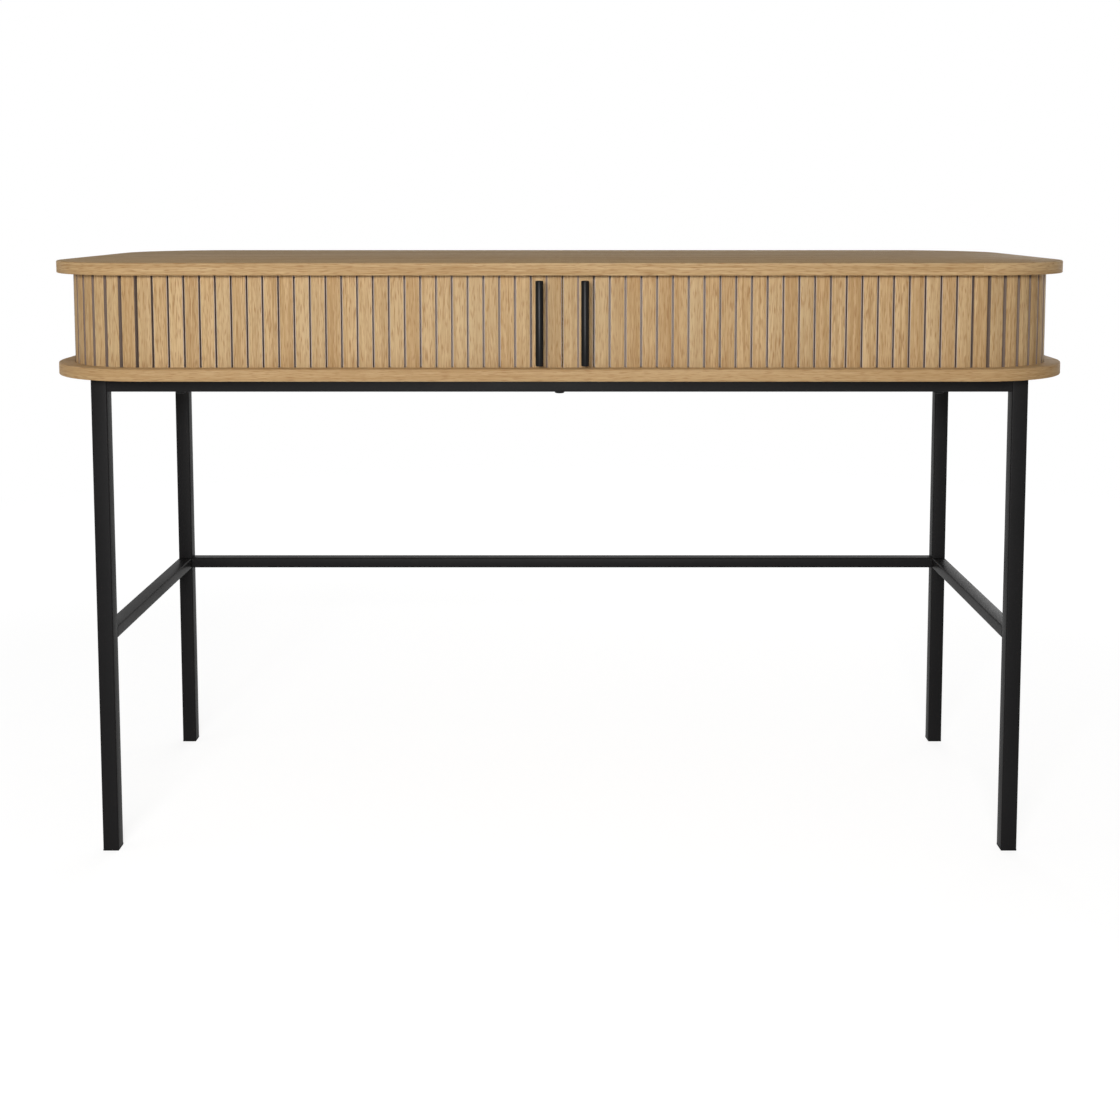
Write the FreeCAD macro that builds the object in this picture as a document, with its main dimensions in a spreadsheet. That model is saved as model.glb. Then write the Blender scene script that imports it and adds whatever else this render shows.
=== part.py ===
import FreeCAD
import Part
import math
import os
import re
from FreeCAD import Placement, Rotation, Vector

# Tambour desk: a flat cabinet with rounded corners on a square-tube frame.
# X runs to the right, the front faces -Y, Z is up, and the floor is Z = 0.
# Two slatted doors run in a track that is cut into both panels all round.

SIZES = [
    ("desk_height", 750.0, "floor to the upper face of the top panel"),
    ("panel_width", 1270.0, "top and bottom panel, side to side"),
    ("panel_depth", 530.0, "top and bottom panel, front to back"),
    ("panel_thickness", 15.0, "top and bottom panel"),
    ("panel_radius", 130.0, "rounded corners in plan"),
    ("cabinet_gap", 112.0, "clear height between the panels"),
    ("slat_inset", 20.0, "panel edge to the outer face of the slats"),
    ("slat_thickness", 8.0, "tambour slat"),
    ("slat_pitch", 19.0, "slat and gap together, on the cloth"),
    ("slat_gap", 2.0, "gap between two slats"),
    ("slat_chamfer", 0.8, "outer long edges of a slat"),
    ("slat_rest", 0.3, "slat end above the floor of the lower track"),
    ("slat_headroom", 1.5, "slat end below the roof of the upper track"),
    ("track_depth", 6.5, "groove in each panel"),
    ("track_clearance", 0.8, "groove wall to slat, each side"),
    ("cloth_thickness", 0.6, "backing cloth"),
    ("cloth_seat", 0.1, "glue line between cloth and slats"),
    ("cloth_trim", 0.6, "cloth edge to each panel"),
    ("meeting_offset", 4.0, "where the doors meet, right of the middle"),
    ("stop_width", 20.0, "block in the rear track between two open doors"),
    ("door_stack", 4.0, "room left between an open lead stile and the corner"),
    ("lead_groove_width", 1.6, "shallow line down the lead stile"),
    ("lead_groove_depth", 1.0, "shallow line down the lead stile"),
    ("handle_reach", 28.0, "slat face to the front of the handle bar"),
    ("handle_inset", 1.3, "handle axis from the middle of its half stile, inwards"),
    ("bar_diameter", 9.5, "handle bar"),
    ("bar_length", 102.0, "handle bar"),
    ("bar_lift", 4.0, "bottom panel to the handle bar"),
    ("post_diameter", 6.0, "handle post"),
    ("post_spacing", 64.0, "between the two posts of a handle"),
    ("post_socket", 4.0, "post set into the bar"),
    ("screw_diameter", 3.5, "handle screw"),
    ("screw_bite", 10.0, "screw inside the post"),
    ("screw_head", 7.5, "handle screw head diameter"),
    ("screw_head_height", 2.2, "handle screw head"),
    ("carcass_thickness", 12.0, "uprights and back panels"),
    ("track_room", 6.0, "cloth to the inner uprights and inner back"),
    ("back_setback", 4.0, "panel edge to the outer back panel"),
    ("dowel_diameter", 6.0, "carcass dowel"),
    ("dowel_in_panel", 8.0, "dowel inside a panel"),
    ("dowel_in_upright", 14.0, "dowel inside an upright"),
    ("dowel_margin", 60.0, "dowel to the end of its upright"),
    ("hole_clearance", 0.1, "hole wall to what it holds"),
    ("tube_size", 20.0, "square tube of the frame"),
    ("tube_wall", 1.5, "tube wall"),
    ("side_overhang", 54.0, "panel edge to the outer faces of the legs, at the sides"),
    ("front_overhang", 62.0, "panel edge to the outer faces of the legs, front and back"),
    ("stretcher_height", 15.0, "flat tube low between the legs"),
    ("stretcher_top", 286.0, "floor to the upper face of the stretchers"),
    ("foot_flange", 3.0, "foot plug below the tube"),
    ("foot_insert", 15.0, "foot plug inside the tube"),
    ("bolt_margin", 89.0, "inner faces of the legs to the outer bolts"),
    ("bolt_diameter", 6.0, "rail bolt"),
    ("bolt_bite", 7.5, "bolt inside the bottom panel"),
    ("bolt_head", 12.5, "rail bolt head diameter"),
    ("bolt_head_height", 2.5, "rail bolt head"),
]

doc = FreeCAD.newDocument("TambourDesk")
sheet = doc.addObject("Spreadsheet::Sheet", "Dims")
for row, (alias, value, note) in enumerate(SIZES, start=1):
    sheet.set(f"A{row}", alias)
    sheet.set(f"B{row}", str(value))
    sheet.set(f"C{row}", note)
    sheet.setAlias(f"B{row}", alias)
doc.recompute()

# Places that several pieces share, as expressions of the sheet.
UNDER = "(desk_height - 2 * panel_thickness - cabinet_gap)"
LOWER = "(desk_height - panel_thickness - cabinet_gap)"
UPPER = "(desk_height - panel_thickness)"
MID_Y = "((handle_reach - slat_inset) / 2)"
FRONT = f"({MID_Y} - panel_depth / 2)"
REAR = f"({MID_Y} + panel_depth / 2)"
CLOTH_INSET = "(slat_inset + slat_thickness)"
SLAT_FACE = f"({FRONT} + slat_inset)"
SLAT_BACK = f"({FRONT} + {CLOTH_INSET})"
SLAT_BOTTOM = f"({LOWER} - track_depth + slat_rest)"
SLAT_TOP = f"({UPPER} + track_depth - slat_headroom)"
STRAIGHT = "(panel_width / 2 - panel_radius)"
INNER_FRONT = f"({SLAT_BACK} + track_room)"
INNER_BACK = f"({REAR} - {CLOTH_INSET} - track_room - carcass_thickness)"
LEG_X = "(panel_width / 2 - side_overhang)"
LEG_FRONT = f"({FRONT} + front_overhang)"
LEG_REAR = f"({REAR} - front_overhang)"
BAR_Y = f"({SLAT_FACE} - handle_reach + bar_diameter / 2)"
POST_LOW = f"({LOWER} + bar_lift + (bar_length - post_spacing) / 2)"


def dims(text):
    """Point each size name of an expression at its sheet cell."""
    return re.sub(r"[a-z_]*[a-z][a-z_]*", lambda found: "Dims." + found[0], text)


def value(text):
    """The number that an expression of the sheet comes to."""
    probe = doc.addObject("App::FeaturePython", "Probe")
    probe.addProperty("App::PropertyFloat", "Result")
    probe.setExpression("Result", dims(text))
    doc.recompute()
    result = probe.Result
    doc.removeObject(probe.Name)
    return result


def bind(obj, values):
    """Bind properties of an object to expressions of the sheet."""
    for name, text in values.items():
        obj.setExpression(name, dims(text))


def set_corner(obj, corner):
    """Bind an object's position."""
    x, y, z = corner
    bind(obj, {
        "Placement.Base.x": x,
        "Placement.Base.y": y,
        "Placement.Base.z": z,
    })


def box(label, size, corner):
    """A block from its size and its lowest corner."""
    obj = doc.addObject("Part::Box", label)
    length, width, height = size
    bind(obj, {"Length": length, "Width": width, "Height": height})
    set_corner(obj, corner)
    return obj


def cylinder(label, diameter, height, base, tilt=None):
    """A round bar from the middle of its base, upright unless tilted."""
    obj = doc.addObject("Part::Cylinder", label)
    bind(obj, {"Radius": f"({diameter}) / 2", "Height": height})
    if tilt:
        obj.Placement = Placement(Vector(), tilt)
    set_corner(obj, base)
    return obj


def rounded_block(label, inset, height, base):
    """The panel's rounded outline, drawn in by an inset, with a height."""
    body = doc.addObject("PartDesign::Body", label)
    block = body.newObject("PartDesign::AdditiveBox", label + "_block")
    bind(block, {
        "Length": f"panel_width - 2 * ({inset})",
        "Width": f"panel_depth - 2 * ({inset})",
        "Height": height,
    })
    set_corner(body, (f"({inset}) - panel_width / 2", f"{FRONT} + ({inset})", base))
    doc.recompute()
    upright = []
    for number, edge in enumerate(block.Shape.Edges, start=1):
        if abs(edge.tangentAt(edge.FirstParameter).z) > 0.9:
            upright.append(f"Edge{number}")
    corners = body.newObject("PartDesign::Fillet", label + "_corners")
    corners.Base = (block, upright)
    bind(corners, {"Radius": f"panel_radius - ({inset})"})
    doc.recompute()
    return body


def fuse(label, shapes):
    """Several solids as one."""
    obj = doc.addObject("Part::MultiFuse", label)
    obj.Shapes = shapes
    return obj


def cut(label, base, tool):
    """A solid with another taken out of it."""
    obj = doc.addObject("Part::Cut", label)
    obj.Base = base
    obj.Tool = tool
    return obj


def group(label, pieces):
    """Separate solids that share one node."""
    obj = doc.addObject("Part::Compound", label)
    obj.Links = pieces
    return obj


nodes = []


def keep(obj):
    """List a finished piece for export."""
    nodes.append(obj)
    return obj


# Dowel places: two per upright and three along each back panel.
HALF_WALL = "carcass_thickness / 2"
UPRIGHTS = {
    "left_upright": f"(-{STRAIGHT} + {HALF_WALL})",
    "divider": "(0 * carcass_thickness)",
    "right_upright": f"({STRAIGHT} - {HALF_WALL})",
}
BACKS = {
    "inner_back": f"({INNER_BACK} + {HALF_WALL})",
    "outer_back": f"({REAR} - back_setback - {HALF_WALL})",
}
dowel_places = {}
for name, x in UPRIGHTS.items():
    dowel_places[name] = [
        (x, f"{INNER_FRONT} + dowel_margin"),
        (x, f"{INNER_BACK} - dowel_margin"),
    ]
for name, y in BACKS.items():
    dowel_places[name] = [
        (f"dowel_margin - {STRAIGHT}", y),
        ("2 * dowel_margin", y),
        (f"{STRAIGHT} - dowel_margin", y),
    ]


def dowel_set(label, places, clearance):
    """Dowels, or their holes, at the foot and the head of one upright."""
    length = f"dowel_in_panel + dowel_in_upright + 2 * {clearance}"
    found = []
    for number, (x, y) in enumerate(places):
        low = f"{LOWER} - dowel_in_panel - {clearance}"
        high = f"{UPPER} - dowel_in_upright - {clearance}"
        for end, z in (("foot", low), ("head", high)):
            across = f"dowel_diameter + 2 * {clearance}"
            found.append(cylinder(f"{label}_{end}_{number}", across, length, (x, y, z)))
    return found


dowels = []
dowel_holes = {}
for name, places in dowel_places.items():
    dowels += dowel_set(f"{name}_dowel", places, "0 * hole_clearance")
    holes = dowel_set(f"{name}_hole", places, "hole_clearance")
    dowel_holes[name] = fuse(f"{name}_holes", holes)
all_dowel_holes = fuse("all_dowel_holes", list(dowel_holes.values()))

# Bolts that hold the frame's rails to the bottom panel.
rail_middles = {
    "front": f"({LEG_FRONT} + tube_size / 2)",
    "rear": f"({LEG_REAR} - tube_size / 2)",
}
outer_bolt = f"({LEG_X} - tube_size - bolt_margin)"
bolts = []
bolt_holes = {}
for name, y in rail_middles.items():
    holes = []
    for number, x in enumerate((f"-{outer_bolt}", "0 * bolt_margin", outer_bolt)):
        seat = f"{UNDER} - tube_size"
        label = f"{name}_bolt_{number}"
        shank = cylinder(f"{label}_shank", "bolt_diameter", "tube_size + bolt_bite", (x, y, seat))
        head_base = f"{seat} - bolt_head_height"
        head = cylinder(f"{label}_head", "bolt_head", "bolt_head_height", (x, y, head_base))
        bolts.append(fuse(label, [shank, head]))
        across = "bolt_diameter + 2 * hole_clearance"
        deep = "tube_size + bolt_bite + hole_clearance"
        holes.append(cylinder(f"{label}_hole", across, deep, (x, y, seat)))
    bolt_holes[name] = fuse(f"{name}_bolt_holes", holes)
all_bolt_holes = fuse("all_bolt_holes", list(bolt_holes.values()))

# Panels with the track groove all round.
groove_outer = "slat_inset - track_clearance"
groove_inner = f"{CLOTH_INSET} + track_clearance"


def track_ring(label, base):
    """The closed loop of the track."""
    outer = rounded_block(f"{label}_outer", groove_outer, "track_depth", base)
    inner = rounded_block(f"{label}_inner", groove_inner, "track_depth", base)
    return cut(label, outer, inner)


top_blank = rounded_block("top_blank", "0 * slat_inset", "panel_thickness", UPPER)
top_ring = track_ring("top_track", UPPER)
keep(cut("top_panel", top_blank, fuse("top_cuts", [top_ring, all_dowel_holes])))

bottom_blank = rounded_block("bottom_blank", "0 * slat_inset", "panel_thickness", UNDER)
bottom_ring = track_ring("bottom_track", f"{LOWER} - track_depth")
bottom_cuts = fuse("bottom_cuts", [bottom_ring, all_dowel_holes, all_bolt_holes])
keep(cut("bottom_panel", bottom_blank, bottom_cuts))

# Uprights and backs between the panels.
upright_depth = f"{INNER_BACK} - {INNER_FRONT}"
for name, x in UPRIGHTS.items():
    size = ("carcass_thickness", upright_depth, "cabinet_gap")
    blank = box(f"{name}_blank", size, (f"{x} - {HALF_WALL}", INNER_FRONT, LOWER))
    keep(cut(name, blank, dowel_holes[name]))
for name, y in BACKS.items():
    size = (f"2 * {STRAIGHT}", "carcass_thickness", "cabinet_gap")
    blank = box(f"{name}_blank", size, (f"-{STRAIGHT}", f"{y} - {HALF_WALL}", LOWER))
    keep(cut(name, blank, dowel_holes[name]))
keep(group("carcass_dowels", dowels))


# Square-tube frame.
def tube(label, size, corner, bore_axis):
    """A tube along one axis, with an open bore."""
    outer = box(f"{label}_outer", size, corner)
    bore_size = list(size)
    bore_corner = list(corner)
    for axis in range(3):
        if axis != bore_axis:
            bore_size[axis] = f"{size[axis]} - 2 * tube_wall"
            bore_corner[axis] = f"{corner[axis]} + tube_wall"
    bore = box(f"{label}_bore", bore_size, bore_corner)
    return outer, bore


leg_places = {
    "front_left_leg": (f"-{LEG_X}", LEG_FRONT),
    "front_right_leg": (f"{LEG_X} - tube_size", LEG_FRONT),
    "rear_left_leg": (f"-{LEG_X}", f"{LEG_REAR} - tube_size"),
    "rear_right_leg": (f"{LEG_X} - tube_size", f"{LEG_REAR} - tube_size"),
}
feet = []
for name, (x, y) in leg_places.items():
    size = ("tube_size", "tube_size", f"{UNDER} - foot_flange")
    outer, bore = tube(name, size, (x, y, "foot_flange"), 2)
    keep(cut(name, outer, bore))
    flange = box(f"{name}_flange", ("tube_size", "tube_size", "foot_flange"), (x, y, "0 * foot_flange"))
    gap = "tube_wall + hole_clearance"
    plug_side = f"tube_size - 2 * ({gap})"
    plug_corner = (f"{x} + {gap}", f"{y} + {gap}", "foot_flange")
    plug = box(f"{name}_plug", (plug_side, plug_side, "foot_insert"), plug_corner)
    feet.append(fuse(f"{name}_foot", [flange, plug]))
keep(group("foot_plugs", feet))

across_legs = f"2 * {LEG_X} - 2 * tube_size"
beside_legs = f"{LEG_REAR} - {LEG_FRONT} - 2 * tube_size"
inner_x = f"tube_size - {LEG_X}"
inner_y = f"{LEG_FRONT} + tube_size"
rail_z = f"{UNDER} - tube_size"
rail_size = (across_legs, "tube_size", "tube_size")
for name, y in (("front", LEG_FRONT), ("rear", f"{LEG_REAR} - tube_size")):
    outer, bore = tube(f"{name}_rail", rail_size, (inner_x, y, rail_z), 0)
    keep(cut(f"{name}_rail", outer, fuse(f"{name}_rail_cuts", [bore, bolt_holes[name]])))
for name, x in (("left", f"-{LEG_X}"), ("right", f"{LEG_X} - tube_size")):
    outer, bore = tube(f"{name}_rail", ("tube_size", beside_legs, "tube_size"), (x, inner_y, rail_z), 1)
    keep(cut(f"{name}_rail", outer, bore))
    low = "stretcher_top - stretcher_height"
    size = ("tube_size", beside_legs, "stretcher_height")
    outer, bore = tube(f"{name}_stretcher", size, (x, inner_y, low), 1)
    keep(cut(f"{name}_stretcher", outer, bore))
low = "stretcher_top - stretcher_height"
size = (across_legs, "tube_size", "stretcher_height")
outer, bore = tube("rear_stretcher", size, (inner_x, f"{LEG_REAR} - tube_size", low), 0)
keep(cut("rear_stretcher", outer, bore))
keep(group("rail_bolts", bolts))

# Lead stiles with their handles. A stile is two slats wide.
toward_back = Rotation(Vector(1, 0, 0), -90)
for name, sign in (("left", "-"), ("right", "+")):
    middle = f"(meeting_offset {sign} slat_pitch)"
    handle_x = f"(meeting_offset {sign} (1.5 * slat_pitch - handle_inset))"
    stile_width = "2 * slat_pitch - slat_gap"
    stile_corner = (f"{middle} - ({stile_width}) / 2", SLAT_FACE, SLAT_BOTTOM)
    stile_size = (stile_width, "slat_thickness", f"{SLAT_TOP} - {SLAT_BOTTOM}")
    stile = box(f"{name}_stile_blank", stile_size, stile_corner)
    line_size = ("lead_groove_width", "lead_groove_depth", f"{SLAT_TOP} - {SLAT_BOTTOM}")
    line_corner = (f"{middle} - lead_groove_width / 2", SLAT_FACE, SLAT_BOTTOM)
    stile_cuts = [box(f"{name}_stile_line", line_size, line_corner)]
    posts = []
    screws = []
    sockets = []
    for number, z in enumerate((POST_LOW, f"{POST_LOW} + post_spacing")):
        label = f"{name}_handle_{number}"
        bar_back = f"({BAR_Y} + bar_diameter / 2)"
        post_base = f"({bar_back} - post_socket)"
        post_length = f"({SLAT_FACE} - {post_base})"
        post_foot = (handle_x, post_base, z)
        post = cylinder(f"{label}_post", "post_diameter", post_length, post_foot, toward_back)
        across = "post_diameter + 2 * hole_clearance"
        socket_base = (handle_x, f"{post_base} - hole_clearance", z)
        deep = "bar_diameter"
        sockets.append(cylinder(f"{label}_socket", across, deep, socket_base, toward_back))
        tip = (handle_x, f"{SLAT_FACE} - screw_bite", z)
        through = "screw_bite + slat_thickness - cloth_seat"
        shank_length = f"{through} - screw_head_height"
        shank = cylinder(f"{label}_shank", "screw_diameter", shank_length, tip, toward_back)
        head_base = (handle_x, f"{SLAT_BACK} - cloth_seat - screw_head_height", z)
        head = cylinder(f"{label}_head", "screw_head", "screw_head_height", head_base, toward_back)
        screws.append(fuse(f"{label}_screw", [shank, head]))
        bore_across = "screw_diameter + 2 * hole_clearance"
        bore_base = (handle_x, f"{SLAT_FACE} - screw_bite - hole_clearance", z)
        bore_length = "screw_bite + slat_thickness"
        bore = cylinder(f"{label}_bore", bore_across, bore_length, bore_base, toward_back)
        posts.append(cut(f"{label}_bored_post", post, bore))
        sink_across = "screw_head + 2 * hole_clearance"
        sink_length = "screw_head_height + cloth_seat"
        sink_base = (handle_x, f"{SLAT_BACK} - screw_head_height - cloth_seat", z)
        sink = cylinder(f"{label}_sink", sink_across, sink_length, sink_base, toward_back)
        stile_cuts += [bore, sink]
    keep(cut(f"{name}_lead_stile", stile, fuse(f"{name}_stile_cuts", stile_cuts)))
    bar_base = (handle_x, BAR_Y, f"{LOWER} + bar_lift")
    bar = cylinder(f"{name}_bar", "bar_diameter", "bar_length", bar_base)
    keep(cut(f"{name}_handle_bar", bar, fuse(f"{name}_sockets", sockets)))
    keep(group(f"{name}_handle_posts", posts))
    keep(group(f"{name}_handle_screws", screws))

doc.recompute()

# The slats follow the track, so their places come from the path's formula.
pitch = value("slat_pitch")
straight = value(STRAIGHT)
cloth_radius = value(f"panel_radius - {CLOTH_INSET}")
side_run = value("panel_depth - 2 * panel_radius")
front_line = value(SLAT_BACK)
offset = value("meeting_offset")
slat_bottom = value(SLAT_BOTTOM)
quarter = cloth_radius * math.pi / 2
corner_end = straight + quarter
side_end = corner_end + side_run
back_end = side_end + quarter


def on_path(run):
    """Place and turn, in radians, at a run along the cloth line from the middle."""
    if run <= straight:
        return run, front_line, 0.0
    if run <= corner_end:
        turn = (run - straight) / cloth_radius
        x = straight + cloth_radius * math.sin(turn)
        y = front_line + cloth_radius * (1 - math.cos(turn))
        return x, y, turn
    if run <= side_end:
        return straight + cloth_radius, front_line + cloth_radius + run - corner_end, math.pi / 2
    if run <= back_end:
        turn = math.pi / 2 + (run - side_end) / cloth_radius
        x = straight + cloth_radius * math.sin(turn)
        y = front_line + cloth_radius * (1 - math.cos(turn)) + side_run
        return x, y, turn
    return straight - (run - back_end), front_line + 2 * cloth_radius + side_run, math.pi


slat = doc.addObject("Part::Box", "slat_blank")
bind(slat, {
    "Length": "slat_pitch - slat_gap",
    "Width": "slat_thickness",
    "Height": f"{SLAT_TOP} - {SLAT_BOTTOM}",
})
doc.recompute()
front_edges = []
for edge in slat.Shape.Edges:
    if abs(edge.tangentAt(edge.FirstParameter).z) > 0.9 and edge.CenterOfMass.y < 0.1:
        front_edges.append(edge)
slat_shape = slat.Shape.makeChamfer(value("slat_chamfer"), front_edges)
slat_shape.translate(Vector(-value("slat_pitch - slat_gap") / 2, -value("slat_thickness"), 0))


def slat_run(label, side, first, count):
    """Slats side by side on the path of one door, from a first run."""
    shapes = []
    for number in range(count):
        x, y, turn = on_path(first + (number + 0.5) * pitch)
        placed = slat_shape.copy()
        spin = Rotation(Vector(0, 0, 1), math.degrees(side * turn))
        placed.Placement = Placement(Vector(side * x, y, slat_bottom), spin).multiply(placed.Placement)
        shapes.append(placed)
    obj = doc.addObject("Part::Feature", label)
    obj.Shape = Part.makeCompound(shapes)
    return keep(obj)


def path_edges(side, start, stop, inward, z):
    """Lines and arcs along the cloth line, moved inward, from start to stop."""

    def at(run):
        x, y, turn = on_path(run)
        x -= inward * math.sin(turn)
        y += inward * math.cos(turn)
        return Vector(side * x, y, z)

    edges = []
    stops = [start]
    stops += [run for run in (straight, corner_end, side_end, back_end) if start < run < stop]
    stops.append(stop)
    for here, there in zip(stops, stops[1:]):
        half = (here + there) / 2
        curved = straight < half < corner_end or side_end < half < back_end
        if curved:
            edges.append(Part.Arc(at(here), at(half), at(there)).toShape())
        else:
            edges.append(Part.LineSegment(at(here), at(there)).toShape())
    return edges


cloth_low = value(f"{LOWER} + cloth_trim")
cloth_high = value(f"{UPPER} - cloth_trim")
cloth_outer = value("cloth_seat")
cloth_inner = value("cloth_seat + cloth_thickness")


def cloth(label, side, start, stop):
    """A strip of backing cloth behind the slats."""
    outer = path_edges(side, start, stop, cloth_outer, cloth_low)
    inner = path_edges(side, start, stop, cloth_inner, cloth_low)
    ends = []
    for run_end in (0, -1):
        a = outer[run_end].Vertexes[run_end].Point
        b = inner[run_end].Vertexes[run_end].Point
        ends.append(Part.LineSegment(a, b).toShape())
    wire = Part.Wire(Part.__sortEdges__(outer + inner + ends))
    solid = Part.Face(wire).extrude(Vector(0, 0, cloth_high - cloth_low))
    obj = doc.addObject("Part::Feature", label)
    obj.Shape = solid
    return keep(obj)


# The tail of an open door just reaches the stop block in the rear track.
stop_run = back_end + straight - value("stop_width / 2")
for name, side in (("left", -1), ("right", 1)):
    start = side * offset + 2 * pitch
    count = int((straight - start) // pitch)
    bend = start + count * pitch
    slat_run(f"{name}_front_slats", side, start, count)
    corner_count = math.ceil((corner_end - bend) / pitch)
    slat_run(f"{name}_corner_slats", side, bend, corner_count)
    flank = bend + corner_count * pitch
    side_count = int((side_end - flank) // pitch)
    slat_run(f"{name}_side_slats", side, flank, side_count)
    tail = flank + side_count * pitch
    travel = count * pitch - value("door_stack")
    tail_count = int((stop_run - travel - tail) // pitch)
    slat_run(f"{name}_rear_slats", side, tail, tail_count)
    end = tail + tail_count * pitch
    cloth(f"{name}_front_cloth", side, start, bend)
    cloth(f"{name}_end_cloth", side, bend, end)
    print(f"{name} door: {count} front slats from {start:.2f} to {bend:.2f}, tail {end:.2f}, travel {travel:.2f}")

stop_size = ("stop_width", "slat_thickness", f"{SLAT_TOP} - {SLAT_BOTTOM}")
stop_corner = ("-stop_width / 2", f"{REAR} - {CLOTH_INSET}", SLAT_BOTTOM)
keep(box("rear_stop", stop_size, stop_corner))
doc.recompute()

for obj in doc.Objects:
    if "Invalid" in obj.State or "Error" in obj.State:
        raise RuntimeError(f"{obj.Label} failed: {obj.State}")
for obj in nodes:
    if obj.Shape.isNull() or not obj.Shape.isValid() or obj.Shape.Volume <= 0:
        raise RuntimeError(f"{obj.Label} has no valid shape")

os.makedirs("parts", exist_ok=True)
for obj in nodes:
    obj.Shape.exportStep(f"parts/{obj.Label}.step")
    print(f"{obj.Label}: {len(obj.Shape.Solids)} solids, {obj.Shape.Volume:.0f} mm3")
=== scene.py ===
# %% [markdown]
# # A tambour desk
# The desk is a flat oak cabinet with rounded corners on a slim black frame.
# Two slatted doors, glued to cloth, run in a groove round the cabinet.
# This lesson dresses the measured model: every shape starts from its nodes.

# %% Load the measured desk
import math
import random

import bmesh
import bpy
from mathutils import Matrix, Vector


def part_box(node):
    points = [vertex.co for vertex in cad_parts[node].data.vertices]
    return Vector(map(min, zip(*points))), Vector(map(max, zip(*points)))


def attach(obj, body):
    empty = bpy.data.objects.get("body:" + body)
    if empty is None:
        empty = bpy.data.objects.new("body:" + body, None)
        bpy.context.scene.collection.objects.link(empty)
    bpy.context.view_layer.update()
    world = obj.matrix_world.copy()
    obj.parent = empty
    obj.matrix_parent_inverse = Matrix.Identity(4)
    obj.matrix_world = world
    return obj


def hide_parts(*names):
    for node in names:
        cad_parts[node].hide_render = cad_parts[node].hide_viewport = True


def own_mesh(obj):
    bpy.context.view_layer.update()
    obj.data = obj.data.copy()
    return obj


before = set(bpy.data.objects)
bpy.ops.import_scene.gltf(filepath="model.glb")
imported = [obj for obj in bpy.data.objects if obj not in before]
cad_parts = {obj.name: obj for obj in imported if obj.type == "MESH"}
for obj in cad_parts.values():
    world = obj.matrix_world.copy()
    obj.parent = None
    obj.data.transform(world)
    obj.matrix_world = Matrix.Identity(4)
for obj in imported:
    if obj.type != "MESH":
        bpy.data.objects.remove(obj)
scene = bpy.context.scene
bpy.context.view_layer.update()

# %% [markdown]
# ## The camera
# The picture was taken level with the desk top, from a little right of the
# middle, with a lens that is shifted to keep the legs upright. A full shift
# would push the desk out of other views, so the lens shifts part of the way
# and the camera leans down for the rest.

# %% Place the camera
FRAME_PIXELS = 1120
FOCAL_PIXELS = 1477
SENSOR_WIDTH = 36
LENS_SHIFT = (-0.0118, -0.204)
CAMERA_PLACE = (0.017, -2.016, 0.816)
CAMERA_LEAN = 4.81
camera_data = bpy.data.cameras.new("desk_camera")
camera_data.sensor_width = SENSOR_WIDTH
camera_data.lens = SENSOR_WIDTH * FOCAL_PIXELS / FRAME_PIXELS
camera_data.shift_x = LENS_SHIFT[0]
camera_data.shift_y = LENS_SHIFT[1]
camera = bpy.data.objects.new("desk_camera", camera_data)
camera.location = CAMERA_PLACE
camera.rotation_euler = (math.radians(90 - CAMERA_LEAN), 0, 0)
scene.collection.objects.link(camera)
scene.camera = camera
scene.view_settings.view_transform = "Standard"
print("lens", round(camera_data.lens, 1), "mm")

# %% [markdown]
# ## Studio light
# The front of the desk is bright and its top is dim. The shine on the black
# frame is strongest near the middle of the rail and fades down the legs, and
# the shadows under the two panels are thin. So the main lamp stands close to
# the camera's line, a little to the left and only a little higher than the
# top. A lower one shows only as the shine on the rail and the handles. Low
# lamps fill the sides and the back, and little falls from above.

# %% Light the studio
AIM = Vector((0, 0, 0.55))


def soft_lamp(name, place, width, height, watts):
    """A broad lamp that faces the desk."""
    data = bpy.data.lights.new(name, "AREA")
    data.shape = "RECTANGLE"
    data.size = width
    data.size_y = height
    data.energy = watts
    lamp = bpy.data.objects.new(name, data)
    lamp.location = place
    lamp.rotation_euler = (AIM - Vector(place)).to_track_quat("-Z", "Y").to_euler()
    lamp.visible_camera = False
    scene.collection.objects.link(lamp)
    return lamp


soft_lamp("key_lamp", place=(-0.36, -2.95, 1.22), width=1.2, height=0.36, watts=58)
soft_lamp("left_fill", place=(-3.0, -0.9, 0.9), width=1.6, height=1.2, watts=7)
soft_lamp("right_fill", place=(2.1, 2.6, 0.9), width=1.6, height=1.2, watts=14)
back_lamp = soft_lamp("back_lamp", place=(0.3, 3.3, 0.9), width=2.2, height=1.2, watts=40)
back_lamp.visible_glossy = False
sheen_lamp = soft_lamp("sheen_lamp", place=(-0.12, -2.95, 0.45), width=0.9, height=0.9, watts=64)
sheen_lamp.visible_diffuse = False
print("lamps:", len(bpy.data.lights))

# %% [markdown]
# ## Floor and background
# The background is plain white. It shows as white to the camera and in
# reflections, but it lights the desk only weakly. Near the desk the floor
# keeps a share of its own shading, so that the desk stands in its shadow, and
# farther off it fades into the background.

# %% Make the background
AMBIENT = 0.205


def seen_directly(tree):
    """A mask that is 1 for camera, glossy and transmission rays."""
    path = tree.nodes.new("ShaderNodeLightPath")
    mask = path.outputs["Is Camera Ray"]
    for kind in ("Is Glossy Ray", "Is Transmission Ray"):
        larger = tree.nodes.new("ShaderNodeMath")
        larger.operation = "MAXIMUM"
        tree.links.new(mask, larger.inputs[0])
        tree.links.new(path.outputs[kind], larger.inputs[1])
        mask = larger.outputs[0]
    return mask


def span(tree, value, low, high, to_low, to_high):
    """A value carried from one range to another."""
    node = tree.nodes.new("ShaderNodeMapRange")
    limits = {"From Min": low, "From Max": high, "To Min": to_low, "To Max": to_high}
    for name, number in limits.items():
        node.inputs[name].default_value = number
    tree.links.new(value, node.inputs["Value"])
    return node.outputs[0]


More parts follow.
